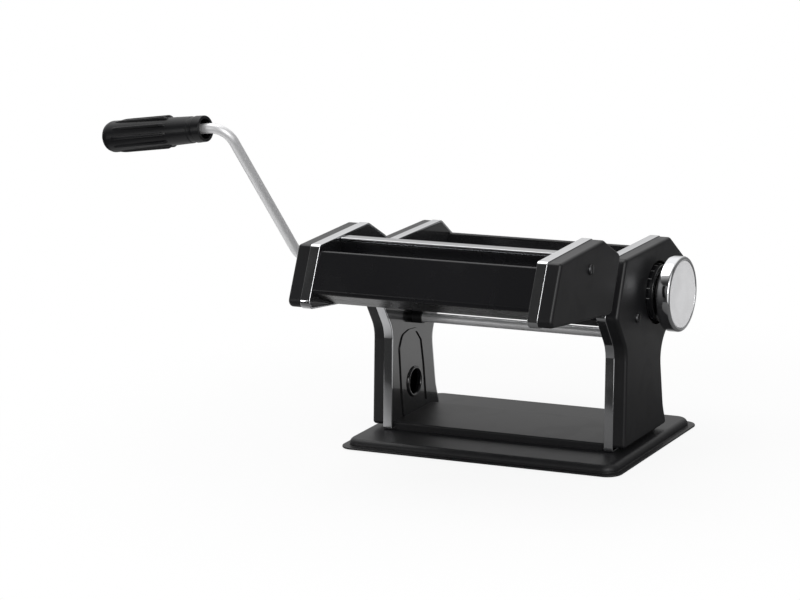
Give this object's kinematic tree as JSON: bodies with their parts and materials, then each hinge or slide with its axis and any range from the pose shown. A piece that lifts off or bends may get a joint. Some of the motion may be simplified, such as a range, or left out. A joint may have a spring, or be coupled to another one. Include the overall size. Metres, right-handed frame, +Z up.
{
  "type": "hand-cranked pasta rolling machine",
  "caption": "Hand-cranked pasta machine: smooth rollers with a gap regulator knob, a lift-off noodle cutter attachment, side housings on a pressed base and a detachable bent crank.",
  "frame": {"origin": "middle of the base on the table", "axes": "+X to the regulator knob side, -Y to the cutter attachment side, +Z up"},
  "size_m": [0.3949, 0.2286, 0.2252],
  "materials": {
    "cover_black": "satin moulded",
    "plate_black": "high gloss",
    "sheet_black": "satin",
    "base_black": "gloss",
    "foot_rubber": "matte",
    "trim_chrome": "polished",
    "screw_steel": "plated",
    "collar_black": "satin",
    "dial_black": "gloss",
    "face_grey": "fine brushed",
    "roller_steel": "ground",
    "gear_steel": "machined",
    "crank_steel": "satin bright",
    "grip_black": "satin moulded"
  },
  "bodies": {
    "base": {"base_pan": "base_black", "base_bridge": "base_black", "foot_front_left": "foot_rubber", "foot_front_right": "foot_rubber", "foot_back_left": "foot_rubber", "foot_back_right": "foot_rubber", "main_plate_left": "plate_black", "main_plate_right": "plate_black", "main_trim_left": "trim_chrome", "main_trim_right": "trim_chrome", "main_cover_left": "cover_black", "main_cover_right": "cover_black", "main_screws": "screw_steel", "clamp_eyelet_left": "plate_black", "clamp_eyelet_right": "plate_black", "tie_rod": "trim_chrome", "tie_collar_left": "collar_black", "tie_collar_right": "collar_black", "rear_hood": "sheet_black", "front_guard": "sheet_black", "wiper_front": "collar_black", "wiper_rear": "collar_black", "index_collar": "dial_black"},
    "drive": {"drive_roller": "roller_steel", "drive_gear": "gear_steel"},
    "carriage": {"gap_axle": "gear_steel", "gap_block_left": "gear_steel", "gap_block_right": "gear_steel"},
    "gap_roll": {"gap_roller": "roller_steel", "gap_gear": "gear_steel"},
    "dial": {"dial_shaft": "gear_steel"},
    "knob": {"knob_hub": "dial_black", "regulator_knob": "trim_chrome", "knob_face": "face_grey"},
    "cutter": {"cutter_plate_left": "plate_black", "cutter_plate_right": "plate_black", "cutter_trim_left": "trim_chrome", "cutter_trim_right": "trim_chrome", "cutter_cover_left": "cover_black", "cutter_cover_right": "cover_black", "cutter_front_hood": "sheet_black", "cutter_center_strip": "trim_chrome", "cutter_feed_guide": "sheet_black", "cutter_rear_hood": "sheet_black", "cutter_screws": "screw_steel", "hook_left": "gear_steel", "hook_right": "gear_steel", "narrow_comb": "collar_black", "wide_comb": "collar_black"},
    "narrow_front": {"narrow_driver": "roller_steel", "narrow_driver_gear": "gear_steel"},
    "narrow_rear": {"narrow_idler": "roller_steel", "narrow_idler_gear": "gear_steel"},
    "wide_front": {"wide_idler": "roller_steel", "wide_idler_gear": "gear_steel"},
    "wide_rear": {"wide_driver": "roller_steel", "wide_driver_gear": "gear_steel"},
    "crank": {"crank_rod": "crank_steel"},
    "grip": {"crank_grip": "grip_black"}
  },
  "joints": [
    {"name": "crank_turn", "type": "hinge", "parent": "base", "child": "drive", "pos_m": [-0.093, -0.005, 0.114], "axis": [1, 0, 0], "continuous": true},
    {"name": "crank_pull", "type": "slide", "parent": "drive", "child": "crank", "axis": [-1, 0, 0], "range_m": [0, 0.03]},
    {"name": "grip_spin", "type": "hinge", "parent": "crank", "child": "grip", "pos_m": [-0.19974, -0.07035, 0.2158], "axis": [-0.9869, 0.0873, -0.136], "continuous": true},
    {"name": "gap_dial", "type": "hinge", "parent": "base", "child": "dial", "pos_m": [0.098, 0.02383, 0.10374], "axis": [1, 0, 0], "range_deg": [0, 180]},
    {"name": "knob_pull", "type": "slide", "parent": "dial", "child": "knob", "axis": [1, 0, 0], "range_m": [0, 0.0045], "stiffness_N_per_m": 600, "springref_m": -0.004},
    {"name": "gap_slide", "type": "slide", "parent": "base", "child": "carriage", "axis": [0, -0.9421, 0.3355], "range_m": [0, 0.0022]},
    {"name": "gap_spin", "type": "hinge", "parent": "carriage", "child": "gap_roll", "pos_m": [0, 0.02486, 0.10337], "axis": [1, 0, 0], "continuous": true},
    {"name": "cutter_lift", "type": "slide", "parent": "base", "child": "cutter", "axis": [0, 0, 1], "range_m": [0, 0.04]},
    {"name": "narrow_turn", "type": "hinge", "parent": "cutter", "child": "narrow_front", "pos_m": [0, -0.127, 0.132], "axis": [1, 0, 0], "continuous": true},
    {"name": "narrow_follow", "type": "hinge", "parent": "cutter", "child": "narrow_rear", "pos_m": [0, -0.109, 0.132], "axis": [1, 0, 0], "continuous": true},
    {"name": "wide_turn", "type": "hinge", "parent": "cutter", "child": "wide_rear", "pos_m": [0, -0.07, 0.13], "axis": [1, 0, 0], "continuous": true},
    {"name": "wide_follow", "type": "hinge", "parent": "cutter", "child": "wide_front", "pos_m": [0, -0.088, 0.13], "axis": [1, 0, 0], "continuous": true}
  ],
  "couplings": [
    {"joint": "gap_spin", "follows": "crank_turn", "ratio": -1},
    {"joint": "gap_dial", "follows": "gap_slide", "rad_per_m": 1428},
    {"joint": "narrow_follow", "follows": "narrow_turn", "ratio": -1},
    {"joint": "wide_follow", "follows": "wide_turn", "ratio": -1}
  ]
}
